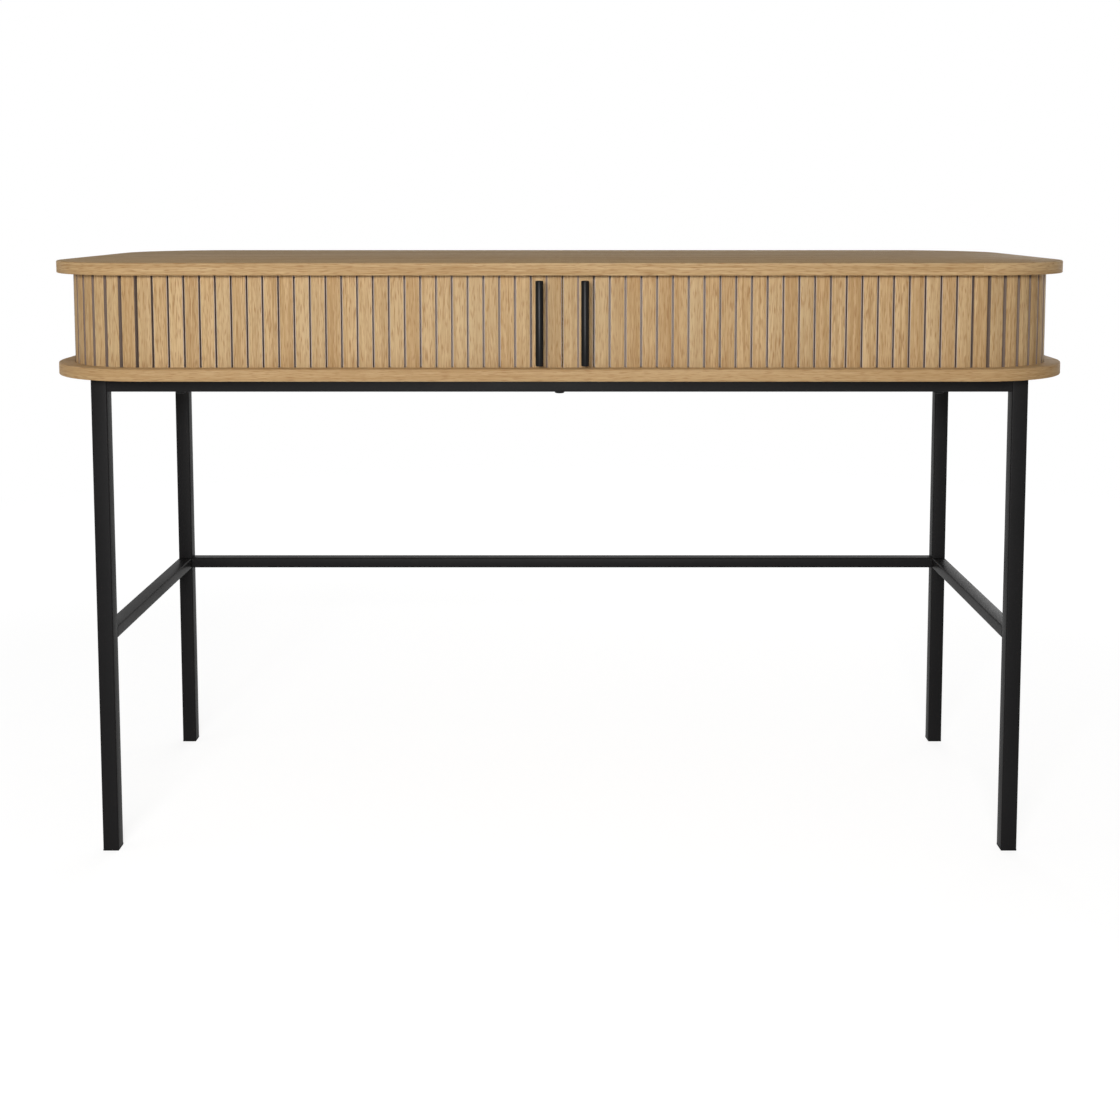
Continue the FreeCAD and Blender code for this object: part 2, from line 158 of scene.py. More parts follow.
world = bpy.data.worlds.new("studio")
scene.world = world
world.use_nodes = True
tree = world.node_tree
backdrop = tree.nodes["Background"]
backdrop.inputs["Color"].default_value = (1, 1, 1, 1)
strength = span(tree, seen_directly(tree), 0, 1, AMBIENT, 1)
tree.links.new(strength, backdrop.inputs["Strength"])
print("background lights the desk at", AMBIENT)

# %% Make the floor
FLOOR_REACH = 14
FLOOR_CORNERS = ((-1, -1), (1, -1), (1, 1), (-1, 1))
FLOOR_COLOUR = (0.86, 0.86, 0.86, 1)
FLOOR_ROUGHNESS = 0.9
FLOOR_GLOW = 0.82
FLOOR_SHADE = 0.40
SHADE_NEAR = 1.1
SHADE_FAR = 2.6


def new_finish(name, gloss):
    """A fresh material; returns it with its node tree and its shader."""
    made = bpy.data.materials.new(name)
    made.use_nodes = True
    shader = made.node_tree.nodes["Principled BSDF"]
    shader.inputs["Specular IOR Level"].default_value = gloss
    return made, made.node_tree, shader


floor_mesh = bpy.data.meshes.new("floor")
floor_corners = [(FLOOR_REACH * x, FLOOR_REACH * y, 0) for x, y in FLOOR_CORNERS]
floor_mesh.from_pydata(floor_corners, [], [(0, 1, 2, 3)])
floor = bpy.data.objects.new("floor", floor_mesh)
scene.collection.objects.link(floor)
floor_paint, tree, floor_shader = new_finish("floor_paint", gloss=0)
floor_shader.inputs["Base Color"].default_value = FLOOR_COLOUR
floor_shader.inputs["Roughness"].default_value = FLOOR_ROUGHNESS
distance = tree.nodes.new("ShaderNodeVectorMath")
distance.operation = "LENGTH"
tree.links.new(tree.nodes.new("ShaderNodeTexCoord").outputs["Object"], distance.inputs[0])


def fade(near, far):
    """A floor value that changes smoothly from beside the desk to farther off."""
    value = span(tree, distance.outputs["Value"], SHADE_NEAR, SHADE_FAR, near, far)
    value.node.interpolation_type = "SMOOTHSTEP"
    return value


glow = tree.nodes.new("ShaderNodeEmission")
tree.links.new(fade(FLOOR_GLOW / (1 - FLOOR_SHADE), 1), glow.inputs["Strength"])
share = tree.nodes.new("ShaderNodeMath")
share.operation = "MULTIPLY"
tree.links.new(fade(1 - FLOOR_SHADE, 1), share.inputs[1])
tree.links.new(seen_directly(tree), share.inputs[0])
both = tree.nodes.new("ShaderNodeMixShader")
tree.links.new(share.outputs[0], both.inputs["Fac"])
tree.links.new(floor_shader.outputs[0], both.inputs[1])
tree.links.new(glow.outputs[0], both.inputs[2])
tree.links.new(both.outputs[0], tree.nodes["Material Output"].inputs["Surface"])
floor_mesh.materials.append(floor_paint)
print("floor reaches", FLOOR_REACH, "m and fades between", SHADE_NEAR, "and", SHADE_FAR, "m")

# %% [markdown]
# ## Oak
# All the wood is pale oak. Oak has slow bands of colour along the grain, fine
# fibres, and short dark pores. A picture of veneer could show them, but noise
# never repeats and fits any piece. One node group draws them from a vector
# whose X runs along the grain, so panels, edges and slats share the same wood.

# %% Write the helpers for shader nodes
# The colour sockets of a Mix node share their names with others, so they are
# reached by number.
MIX_FACTOR, MIX_FIRST, MIX_SECOND, MIX_RESULT = 0, 6, 7, 2


def scaled_noise(tree, vector, scale, detail):
    """Noise on a vector that is stretched by a scale."""
    stretch = tree.nodes.new("ShaderNodeVectorMath")
    stretch.operation = "MULTIPLY"
    stretch.inputs[1].default_value = scale
    tree.links.new(vector, stretch.inputs[0])
    noise = tree.nodes.new("ShaderNodeTexNoise")
    noise.inputs["Scale"].default_value = 1
    noise.inputs["Detail"].default_value = detail
    tree.links.new(stretch.outputs[0], noise.inputs["Vector"])
    return noise.outputs["Fac"]


def weigh(tree, value, factor, added=None):
    """A value times a factor, plus another value."""
    node = tree.nodes.new("ShaderNodeMath")
    node.operation = "MULTIPLY_ADD"
    node.inputs[1].default_value = factor
    node.inputs[2].default_value = 0
    tree.links.new(value, node.inputs[0])
    if added is not None:
        tree.links.new(added, node.inputs[2])
    return node.outputs[0]


def tint(tree, colour, factor, other):
    """A colour mixed with another by a factor."""
    node = tree.nodes.new("ShaderNodeMix")
    node.data_type = "RGBA"
    tree.links.new(factor, node.inputs[MIX_FACTOR])
    tree.links.new(colour, node.inputs[MIX_FIRST])
    node.inputs[MIX_SECOND].default_value = other
    return node.outputs[MIX_RESULT]


def add_bump(tree, shader, height, strength, depth):
    """A bump that a height gives to a shader's normal."""
    bump = tree.nodes.new("ShaderNodeBump")
    bump.inputs["Strength"].default_value = strength
    bump.inputs["Distance"].default_value = depth
    tree.links.new(height, bump.inputs["Height"])
    tree.links.new(bump.outputs["Normal"], shader.inputs["Normal"])


def shader_group(name, takes, gives):
    """A shader node group with named sockets; returns it with its two ends."""
    group = bpy.data.node_groups.new(name, "ShaderNodeTree")
    for direction, sockets in (("INPUT", takes), ("OUTPUT", gives)):
        for label, kind in sockets.items():
            group.interface.new_socket(label, in_out=direction, socket_type="NodeSocket" + kind)
    return group, group.nodes.new("NodeGroupInput"), group.nodes.new("NodeGroupOutput")


print("helpers for noise, sums, tints, bumps and groups")

# %% Build the oak group
OAK_PALE = (0.590, 0.415, 0.222, 1)
OAK_MID = (0.495, 0.328, 0.162, 1)
OAK_DARK = (0.400, 0.248, 0.112, 1)
OAK_GREY = (0.500, 0.365, 0.204, 1)
OAK_PORE = (0.320, 0.172, 0.070, 1)

# Each scale is along the grain first, then across it.
BAND_SCALE = (1.1, 26, 26)
STREAK_SCALE = (3.5, 300, 300)
FIBRE_SCALE = (30, 620, 620)
PORE_SCALE = (70, 900, 900)
BAND_SHARE, STREAK_SHARE, FIBRE_SHARE = 0.22, 0.43, 0.35
PALE_AT, MID_AT, DARK_AT = 0.42, 0.51, 0.60
GREY_SHARE, DEEP_SHARE, PORE_SHARE = 0.62, 0.52, 0.80
PORE_LIMITS = (0.53, 0.70)
PORE_DROP = -0.6
NOISE_LIMITS = (0.3, 0.7)
OAK_ROUGHNESS = (0.48, 0.62)

OAK_TAKES = {"Grain": "Vector", "Tone": "Float"}
OAK_GIVES = {"Color": "Color", "Roughness": "Float", "Height": "Float"}
oak, oak_in, oak_out = shader_group("oak_grain", OAK_TAKES, OAK_GIVES)
grain = oak_in.outputs["Grain"]
wood_tone = oak_in.outputs["Tone"]
bands = scaled_noise(oak, grain, BAND_SCALE, detail=2)
streaks = scaled_noise(oak, grain, STREAK_SCALE, detail=3)
fibres = scaled_noise(oak, grain, FIBRE_SCALE, detail=2)
pores = span(oak, scaled_noise(oak, grain, PORE_SCALE, detail=1), *PORE_LIMITS, 0, 1)
figure = weigh(oak, fibres, FIBRE_SHARE)
figure = weigh(oak, streaks, STREAK_SHARE, figure)
figure = weigh(oak, bands, BAND_SHARE, figure)
ramp = oak.nodes.new("ShaderNodeValToRGB")
ramp.color_ramp.elements[0].position = PALE_AT
ramp.color_ramp.elements[0].color = OAK_PALE
ramp.color_ramp.elements[1].position = DARK_AT
ramp.color_ramp.elements[1].color = OAK_DARK
ramp.color_ramp.elements.new(MID_AT).color = OAK_MID
oak.links.new(figure, ramp.inputs["Fac"])
greyed = tint(oak, ramp.outputs["Color"], span(oak, wood_tone, 0, 1, 0, GREY_SHARE), OAK_GREY)
deepened = tint(oak, greyed, span(oak, wood_tone, 0, -1, 0, DEEP_SHARE), OAK_DARK)
pored = tint(oak, deepened, weigh(oak, pores, PORE_SHARE), OAK_PORE)
oak.links.new(pored, oak_out.inputs["Color"])
oak.links.new(span(oak, fibres, *NOISE_LIMITS, *OAK_ROUGHNESS), oak_out.inputs["Roughness"])
oak.links.new(weigh(oak, pores, PORE_DROP, fibres), oak_out.inputs["Height"])
print("oak group nodes:", len(oak.nodes))

# %% [markdown]
# ## Oak finishes
# The same group makes each oak finish: the faces of the panels with grain from
# side to side, the edge bands whose grain follows the rim, deeper on the lower
# panel as painted shade, the upright slats, each with its own tone, and the
# boards inside the cabinet. Separate materials would repeat the same nodes, so a
# function fills in what differs: the grain's direction, the tone and the sheen.

# %% Make the oak finishes
OAK_BUMP = 0.18
OAK_BUMP_DEPTH = 0.0004


def oak_finish(name, turn=(0, 0, 0), uv=None, slatted=False, gloss=0.25, tone=0.0):
    """An oak material; turn carries the piece's grain direction to X."""
    made, tree, shader = new_finish(name, gloss)
    if uv:
        source = tree.nodes.new("ShaderNodeUVMap")
        source.uv_map = uv
        place = source.outputs["UV"]
    else:
        place = tree.nodes.new("ShaderNodeTexCoord").outputs["Object"]
    mapping = tree.nodes.new("ShaderNodeMapping")
    mapping.inputs["Rotation"].default_value = [math.radians(angle) for angle in turn]
    tree.links.new(place, mapping.inputs["Vector"])
    wood = tree.nodes.new("ShaderNodeGroup")
    wood.node_tree = oak
    wood.inputs["Tone"].default_value = tone
    vector = mapping.outputs["Vector"]
    if slatted:
        shift = tree.nodes.new("ShaderNodeAttribute")
        shift.attribute_name = "slat_shift"
        moved = tree.nodes.new("ShaderNodeVectorMath")
        moved.operation = "ADD"
        tree.links.new(vector, moved.inputs[0])
        tree.links.new(shift.outputs["Vector"], moved.inputs[1])
        vector = moved.outputs[0]
        own_tone = tree.nodes.new("ShaderNodeAttribute")
        own_tone.attribute_name = "slat_tone"
        tree.links.new(own_tone.outputs["Fac"], wood.inputs["Tone"])
    tree.links.new(vector, wood.inputs["Grain"])
    tree.links.new(wood.outputs["Color"], shader.inputs["Base Color"])
    tree.links.new(wood.outputs["Roughness"], shader.inputs["Roughness"])
    add_bump(tree, shader, wood.outputs["Height"], OAK_BUMP, OAK_BUMP_DEPTH)
    return made


panel_oak = oak_finish("panel_oak", gloss=0.02)
band_oak = oak_finish("band_oak", uv="band", gloss=0.06, tone=-0.45)
# Painted shade: the lower panel's edge band gets a deeper tone than the upper one's.
low_band_shade_oak = oak_finish("low_band_shade_oak", uv="band", gloss=0.06, tone=-1.0)
slat_oak = oak_finish("slat_oak", turn=(0, 90, 0), slatted=True, gloss=0.06)
board_oak = oak_finish("board_oak")
upright_oak = oak_finish("upright_oak", turn=(0, 0, -90))
oak_finishes = (panel_oak, band_oak, low_band_shade_oak, slat_oak, board_oak, upright_oak)
print("oak finishes:", ", ".join(finish.name for finish in oak_finishes))

# %% [markdown]
# ## Coatings
# The frame and the handles carry a fine-textured black coating. The eased
# edges of the slats are grey, and where the grooves open round a front corner
# they are painted dark brown as painted shade; the side walls of the slats are
# dark brown. One even colour would look like plastic, so a group gives fine
# grit and slow clouds, and each coating sets its own colours, sheen and grit.

# %% Build the coating group
GRIT_SCALE = (1400, 1400, 1400)
CLOUD_SCALE = (9, 9, 9)
COAT_TAKES = {"Place": "Vector", "Dark": "Color", "Light": "Color"}
COAT_GIVES = {"Color": "Color", "Clouds": "Float", "Height": "Float"}
coat, coat_in, coat_out = shader_group("fine_coating", COAT_TAKES, COAT_GIVES)
grit = scaled_noise(coat, coat_in.outputs["Place"], GRIT_SCALE, detail=2)
cloud = scaled_noise(coat, coat_in.outputs["Place"], CLOUD_SCALE, detail=3)
blend = coat.nodes.new("ShaderNodeMix")
blend.data_type = "RGBA"
coat.links.new(weigh(coat, grit, 0.5, weigh(coat, cloud, 0.5)), blend.inputs[MIX_FACTOR])
coat.links.new(coat_in.outputs["Dark"], blend.inputs[MIX_FIRST])
coat.links.new(coat_in.outputs["Light"], blend.inputs[MIX_SECOND])
coat.links.new(blend.outputs[MIX_RESULT], coat_out.inputs["Color"])
coat.links.new(cloud, coat_out.inputs["Clouds"])
coat.links.new(grit, coat_out.inputs["Height"])
print("coating group nodes:", len(coat.nodes))

# %% Make the coated finishes
COAT_BUMP = 0.25


def coated(name, dark, light, rough, gloss, depth, metal=0.0):
    """A coated material; rough is its lowest and highest roughness, depth its grit's."""
    made, tree, shader = new_finish(name, gloss)
    shader.inputs["Metallic"].default_value = metal
    place = tree.nodes.new("ShaderNodeTexCoord").outputs["Object"]
    paint = tree.nodes.new("ShaderNodeGroup")
    paint.node_tree = coat
    paint.inputs["Dark"].default_value = dark
    paint.inputs["Light"].default_value = light
    tree.links.new(place, paint.inputs["Place"])
    tree.links.new(paint.outputs["Color"], shader.inputs["Base Color"])
    roughness = span(tree, paint.outputs["Clouds"], *NOISE_LIMITS, *rough)
    tree.links.new(roughness, shader.inputs["Roughness"])
    add_bump(tree, shader, paint.outputs["Height"], COAT_BUMP, depth)
    return made


def grey(level):
    """A neutral colour of one level."""
    return (level, level, level, 1)


FRAME_DARK = (0.008, 0.0077, 0.0079, 1)
FRAME_LIGHT = (0.015, 0.0145, 0.0148, 1)
EDGE_DARK = (0.47, 0.39, 0.338, 1)
EDGE_LIGHT = (0.57, 0.48, 0.418, 1)
# Painted shade: the eased edges of the corner slats are dark brown, where the grooves open round
# the bend.
BEND_SHADE_DARK = (0.12, 0.085, 0.065, 1)
BEND_SHADE_LIGHT = (0.17, 0.122, 0.095, 1)
WALL_DARK = (0.20, 0.148, 0.118, 1)
WALL_LIGHT = (0.29, 0.218, 0.178, 1)
STEEL_DARK = (0.30, 0.30, 0.31, 1)
STEEL_LIGHT = (0.42, 0.42, 0.43, 1)
frame_black = coated("frame_black", FRAME_DARK, FRAME_LIGHT, (0.38, 0.46), 0.045, 0.00025)
handle_black = coated("handle_black", grey(0.002), grey(0.004), (0.32, 0.38), 0.12, 0.00006)
bolt_black = coated("bolt_black", grey(0.003), grey(0.006), (0.40, 0.50), 0.08, 0.0001)
foot_black = coated("foot_black", grey(0.005), grey(0.010), (0.55, 0.65), 0.05, 0.0003)
edge_grey = coated("edge_grey", EDGE_DARK, EDGE_LIGHT, (0.70, 0.80), 0.1, 0.0002)
bend_painted_shade = coated("bend_painted_shade", BEND_SHADE_DARK, BEND_SHADE_LIGHT, (0.70, 0.80), 0.1, 0.0002)
wall_brown = coated("wall_brown", WALL_DARK, WALL_LIGHT, (0.75, 0.85), 0.1, 0.0003)
screw_steel = coated("screw_steel", STEEL_DARK, STEEL_LIGHT, (0.28, 0.36), 0.5, 0.00005, metal=1.0)
print("materials so far:", len(bpy.data.materials))

# %% [markdown]
# ## Backing cloth
# A tambour's slats are glued to canvas. Only a grey line of it shows in each
# gap, and its plain weave shows from inside an open door. Threads of geometry
# would be finer than a picture can show, so two fine waves that cross make the
# weave, along the run of the cloth and up it.

# %% Make the cloth finish
THREAD_PITCH = 0.0012
# The bands of a Wave texture lie tau / (20 * scale) apart.
WAVE_FACTOR = 20
CANVAS_DARK = (0.470, 0.390, 0.338, 1)
CANVAS_LIGHT = (0.600, 0.510, 0.447, 1)
CANVAS_ROUGHNESS = 0.9
CANVAS_BUMP = 0.3
CANVAS_BUMP_DEPTH = 0.0003
canvas_grey, tree, cloth_shader = new_finish("canvas_grey", gloss=0.1)
cloth_shader.inputs["Roughness"].default_value = CANVAS_ROUGHNESS
place = tree.nodes.new("ShaderNodeUVMap")
place.uv_map = "weave"
waves = []
for direction in ("X", "Y"):
    wave = tree.nodes.new("ShaderNodeTexWave")
    wave.bands_direction = direction
    wave.inputs["Scale"].default_value = math.tau / (WAVE_FACTOR * THREAD_PITCH)
    tree.links.new(place.outputs["UV"], wave.inputs["Vector"])
    waves.append(wave.outputs["Fac"])
weave = weigh(tree, waves[0], 0.5, weigh(tree, waves[1], 0.5))
weave_ramp = tree.nodes.new("ShaderNodeValToRGB")
weave_ramp.color_ramp.elements[0].color = CANVAS_DARK
weave_ramp.color_ramp.elements[1].color = CANVAS_LIGHT
tree.links.new(weave, weave_ramp.inputs["Fac"])
tree.links.new(weave_ramp.outputs["Color"], cloth_shader.inputs["Base Color"])
add_bump(tree, cloth_shader, weave, CANVAS_BUMP, CANVAS_BUMP_DEPTH)
print("cloth threads every", THREAD_PITCH * 1000, "mm")

# %% [markdown]
# ## Panels
# A panel is a board with rounded corners, a slightly eased rim and the track
# groove in one face. It could be cut with booleans, but here rings of points
# follow the outline at each inset and height, and faces join the rings. The
# rim gets a UV map that runs round it, for the grain of the edge band.

# %% Measure the panels
TOP_LOW, TOP_HIGH = (Vector(corner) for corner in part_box("top_panel"))
BOTTOM_LOW, BOTTOM_HIGH = (Vector(corner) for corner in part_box("bottom_panel"))
HALF_WIDTH = TOP_HIGH.x
HALF_DEPTH = (TOP_HIGH.y - TOP_LOW.y) / 2
MIDDLE_Y = (TOP_HIGH.y + TOP_LOW.y) / 2
CORNER_RADIUS = 0.130
CORNER_STEPS = 28
PANEL_EASE = 0.0011
ROUND_SHARE = 0.3
SLAT_INSET = 0.020
SLAT_DEPTH = 0.008
TRACK_ROOM = 0.0008
TRACK_DEPTH = 0.0065
GROOVE_OUTER = SLAT_INSET - TRACK_ROOM
GROOVE_INNER = SLAT_INSET + SLAT_DEPTH + TRACK_ROOM
print("panels are", round(2 * HALF_WIDTH, 3), "by", round(2 * HALF_DEPTH, 3), "m")

# %% Write the helpers that draw a panel
SHARP_ANGLE = 28


def outline(inset):
    """The panel's rounded outline, drawn in by an inset, anticlockwise."""
    points = []
    radius = CORNER_RADIUS - inset
    corners = ((1, -1, -90), (1, 1, 0), (-1, 1, 90), (-1, -1, 180))
    for side_x, side_y, start in corners:
        centre_x = side_x * (HALF_WIDTH - CORNER_RADIUS)
        centre_y = MIDDLE_Y + side_y * (HALF_DEPTH - CORNER_RADIUS)
        for step in range(CORNER_STEPS + 1):
            angle = math.radians(start + 90 * step / CORNER_STEPS)
            x = centre_x + radius * math.cos(angle)
            y = centre_y + radius * math.sin(angle)
            points.append((x, y))
    return points


def finish_mesh(bm, name, *materials):
    """A mesh object from bmesh data, with sharp edges kept sharp."""
    mesh = bpy.data.meshes.new(name)
    bm.to_mesh(mesh)
    bm.free()
    for face in mesh.polygons:
        face.use_smooth = True
    mesh.set_sharp_from_angle(angle=math.radians(SHARP_ANGLE))
    for material in materials:
        mesh.materials.append(material)
    made = bpy.data.objects.new(name, mesh)
    scene.collection.objects.link(made)
    return made


def panel(name, rings, band_finish):
    """A panel from rings of (inset, height), from its lower face round the rim to its upper one."""
    bm = bmesh.new()
    band = bm.loops.layers.uv.new("band")
    rim = outline(0)
    runs = [0.0]
    for here, there in zip(rim, rim[1:] + rim[:1]):
        runs.append(runs[-1] + math.dist(here, there))
    placed = [[bm.verts.new((x, y, z)) for x, y in outline(inset)] for inset, z in rings]
    count = len(rim)
    bm.faces.new(placed[0])
    for number, (lower, upper) in enumerate(zip(placed, placed[1:])):
        on_rim = max(rings[number][0], rings[number + 1][0]) <= PANEL_EASE
        for i in range(count):
            j = (i + 1) % count
            face = bm.faces.new((lower[j], lower[i], upper[i], upper[j]))
            face.material_index = 1 if on_rim else 0
            corners = (runs[i + 1], runs[i], runs[i], runs[i + 1])
            for loop, run in zip(face.loops, corners):
                loop[band].uv = (run, loop.vert.co.z)
    bm.faces.new(placed[-1][::-1])
    bmesh.ops.recalc_face_normals(bm, faces=bm.faces)
    return finish_mesh(bm, name, panel_oak, band_finish)


def eased_profile(low, high, ease):
    """Insets and heights of a rim with eased edges, from its lower face to its upper one."""
    near = ROUND_SHARE * ease
    return [
        (ease, low), (near, low + near), (0, low + ease),
        (0, high - ease), (near, high - near), (ease, high),
    ]


def groove_rings(face, bed):
    """The track groove in a face, from its inner wall over its bed to its outer wall."""
    return [(GROOVE_INNER, face), (GROOVE_INNER, bed), (GROOVE_OUTER, bed), (GROOVE_OUTER, face)]


print("the outline of a panel has", len(outline(0)), "points")

# %% Build the panels
top_rings = groove_rings(TOP_LOW.z, TOP_LOW.z + TRACK_DEPTH)
top_rings += eased_profile(TOP_LOW.z, TOP_HIGH.z, PANEL_EASE)
bottom_rings = eased_profile(BOTTOM_LOW.z, BOTTOM_HIGH.z, PANEL_EASE)
bottom_rings += groove_rings(BOTTOM_HIGH.z, BOTTOM_HIGH.z - TRACK_DEPTH)[::-1]
boards = (("top_panel", top_rings, band_oak), ("bottom_panel", bottom_rings, low_band_shade_oak))
for node, rings, band_finish in boards:
    board = panel(node + "_oak", rings, band_finish)
    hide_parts(node)
    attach(board, "desk")
    print(board.name, len(board.data.polygons), "faces")

# %% [markdown]
# ## Tambour slats
# Every slat is the same strip of oak with eased front edges, glued to the cloth
# at an even pitch. An array along a curve would bend the slats, so Geometry
# Nodes set one slat at each pitch along the line of the cloth, turned to follow
# it, and give each its own tone and its own place in the grain.

# %% Draw the line of the cloth
PITCH = 0.019
SLAT_WIDTH = 0.017
SLAT_EASE = 0.0005
CLOTH_INSET = SLAT_INSET + SLAT_DEPTH
FRONT_Y = TOP_LOW.y + CLOTH_INSET
BEND_RADIUS = CORNER_RADIUS - CLOTH_INSET
STRAIGHT = HALF_WIDTH - CORNER_RADIUS
SIDE_RUN = 2 * (HALF_DEPTH - CORNER_RADIUS)
SLAT_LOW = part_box("left_side_slats")[0][2]
SLAT_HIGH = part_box("left_side_slats")[1][2]
ARC_STEPS = 90


def door_line(side):
    """The cloth line of one door, from the middle of the front to the middle of the back."""
    points = [(0.0, FRONT_Y)]
    for start, shift in ((0, 0), (90, SIDE_RUN)):
        for step in range(ARC_STEPS + 1):
            turn = math.radians(start + 90 * step / ARC_STEPS)
            x = STRAIGHT + BEND_RADIUS * math.sin(turn)
            y = FRONT_Y + BEND_RADIUS * (1 - math.cos(turn)) + shift
            points.append((x, y))
    points.append((0.0, FRONT_Y + 2 * BEND_RADIUS + SIDE_RUN))
    return [(side * x, y) for x, y in points]


def line_length(points):
    """Length along a row of points."""
    return sum(math.dist(a, b) for a, b in zip(points, points[1:]))


def curve_object(name, points):
    """A plain curve through points in plan."""
    data = bpy.data.curves.new(name, "CURVE")
    data.dimensions = "3D"
    spline = data.splines.new("POLY")
    spline.points.add(len(points) - 1)
    for place, (x, y) in zip(spline.points, points):
        place.co = (x, y, 0, 1)
    made = bpy.data.objects.new(name, data)
    scene.collection.objects.link(made)
    return made


# The left line is drawn from its far end, so that both lines run to the right
# along the front and a slat's face turns outwards on both.
right_line = door_line(1)
left_line = door_line(-1)[::-1]
DOOR_LINE_LENGTH = line_length(right_line)
print("cloth line", round(DOOR_LINE_LENGTH, 4), "m from middle to middle")

# %% Cut one slat
# How far a face of a slat turns to the side tells what it is.
EDGE_TURN = 0.3
WALL_TURN = 0.95


def is_wall(face):
    """True for a side wall of a slat."""
    return abs(face.normal.x) > WALL_TURN


def is_edge(face):
    """True for an eased edge of a slat."""
    return EDGE_TURN < abs(face.normal.x) <= WALL_TURN


def mark_faces(mesh):
    """Mark the eased edges and the side walls, which have their own finishes."""
    for name, belongs in (("slat_edge", is_edge), ("slat_wall", is_wall)):
        marks = mesh.attributes.new(name, "BOOLEAN", "FACE")
        marks.data.foreach_set("value", [belongs(face) for face in mesh.polygons])


def eased_edge(x, front, inward):
    """Three points of an eased edge, from the side wall to the front face."""
    near = ROUND_SHARE * SLAT_EASE
    return [
        (x, front + SLAT_EASE),
        (x + inward * near, front + near),
        (x + inward * SLAT_EASE, front),
    ]


def pulled_up(section, low, high):
    """A closed section in plan, pulled up from one height to another."""
    bm = bmesh.new()
    bottom = [bm.verts.new((x, y, low)) for x, y in section]
    top = [bm.verts.new((x, y, high)) for x, y in section]
    bm.faces.new(bottom)
    bm.faces.new(top)
    for i in range(len(section)):
        j = (i + 1) % len(section)
        bm.faces.new((bottom[i], bottom[j], top[j], top[i]))
    bmesh.ops.recalc_face_normals(bm, faces=bm.faces)
    return bm


def slat_blank():
    """One slat: its back lies on the cloth line, its front faces -Y."""
    half = SLAT_WIDTH / 2
    front = -SLAT_DEPTH
    section = [(-half, 0)] + eased_edge(-half, front, 1)
    section += eased_edge(half, front, -1)[::-1] + [(half, 0)]
    made = finish_mesh(pulled_up(section, SLAT_LOW, SLAT_HIGH), "slat_blank", slat_oak)
    mark_faces(made.data)
    return made


blank = slat_blank()
print("one slat has", len(blank.data.polygons), "faces")

# %% Build the node tree that lays the slats


def new_tree(name, inputs):
    """A geometry node tree with named inputs; returns it with its two ends."""
    tree = bpy.data.node_groups.new(name, "GeometryNodeTree")
    tree.interface.new_socket("Geometry", in_out="INPUT", socket_type="NodeSocketGeometry")
    for label, kind in inputs:
        tree.interface.new_socket(label, in_out="INPUT", socket_type=kind)
    tree.interface.new_socket("Geometry", in_out="OUTPUT", socket_type="NodeSocketGeometry")
    return tree, tree.nodes.new("NodeGroupInput"), tree.nodes.new("NodeGroupOutput")


SLAT_INPUTS = (
    ("Slat", "NodeSocketObject"),
    ("Count", "NodeSocketInt"),
    ("First", "NodeSocketFloat"),
    ("Step", "NodeSocketFloat"),
    ("Seed", "NodeSocketInt"),
    ("Finish", "NodeSocketMaterial"),
    ("Edge Finish", "NodeSocketMaterial"),
    ("Wall Finish", "NodeSocketMaterial"),
)
slat_tree, given, result = new_tree("lay_slats", SLAT_INPUTS)
nodes = slat_tree.nodes
links = slat_tree.links
points = nodes.new("GeometryNodePoints")
index = nodes.new("GeometryNodeInputIndex")
halfway = nodes.new("ShaderNodeMath")
halfway.operation = "ADD"
halfway.inputs[1].default_value = 0.5
along = nodes.new("ShaderNodeMath")
along.operation = "MULTIPLY_ADD"
sample = nodes.new("GeometryNodeSampleCurve")
sample.mode = "LENGTH"
move = nodes.new("GeometryNodeSetPosition")
align = nodes.new("FunctionNodeAlignRotationToVector")
align.axis = "X"
align.pivot_axis = "Z"
pick = nodes.new("GeometryNodeObjectInfo")
place_slats = nodes.new("GeometryNodeInstanceOnPoints")
links.new(given.outputs["Count"], points.inputs["Count"])
links.new(index.outputs[0], halfway.inputs[0])
links.new(halfway.outputs[0], along.inputs[0])
links.new(given.outputs["Step"], along.inputs[1])
links.new(given.outputs["First"], along.inputs[2])
links.new(given.outputs["Geometry"], sample.inputs["Curves"])
links.new(along.outputs[0], sample.inputs["Length"])
links.new(points.outputs[0], move.inputs["Geometry"])
links.new(sample.outputs["Position"], move.inputs["Position"])
links.new(sample.outputs["Tangent"], align.inputs["Vector"])
links.new(given.outputs["Slat"], pick.inputs["Object"])
links.new(move.outputs[0], place_slats.inputs["Points"])
links.new(pick.outputs["Geometry"], place_slats.inputs["Instance"])
links.new(align.outputs[0], place_slats.inputs["Rotation"])
print("nodes that place the slats:", len(nodes))

# %% Give each slat its tone and its finishes
TONE_LOW, TONE_HIGH = -1.0, 1.0
SHIFT_LOW, SHIFT_HIGH = (0, 0, 0), (9, 9, 9)
# Limits of a Random Value node share their names, so they are reached by number.
tones = nodes.new("FunctionNodeRandomValue")
tones.data_type = "FLOAT"
tones.inputs[2].default_value = TONE_LOW
tones.inputs[3].default_value = TONE_HIGH
shifts = nodes.new("FunctionNodeRandomValue")
shifts.data_type = "FLOAT_VECTOR"
shifts.inputs[0].default_value = SHIFT_LOW
shifts.inputs[1].default_value = SHIFT_HIGH
keep_tone = nodes.new("GeometryNodeStoreNamedAttribute")
keep_tone.data_type = "FLOAT"
keep_tone.domain = "INSTANCE"
keep_tone.inputs["Name"].default_value = "slat_tone"
keep_shift = nodes.new("GeometryNodeStoreNamedAttribute")
keep_shift.data_type = "FLOAT_VECTOR"
keep_shift.domain = "INSTANCE"
keep_shift.inputs["Name"].default_value = "slat_shift"
realize = nodes.new("GeometryNodeRealizeInstances")
paint = nodes.new("GeometryNodeSetMaterial")
links.new(given.outputs["Seed"], tones.inputs["Seed"])
links.new(given.outputs["Seed"], shifts.inputs["Seed"])
links.new(place_slats.outputs[0], keep_tone.inputs["Geometry"])
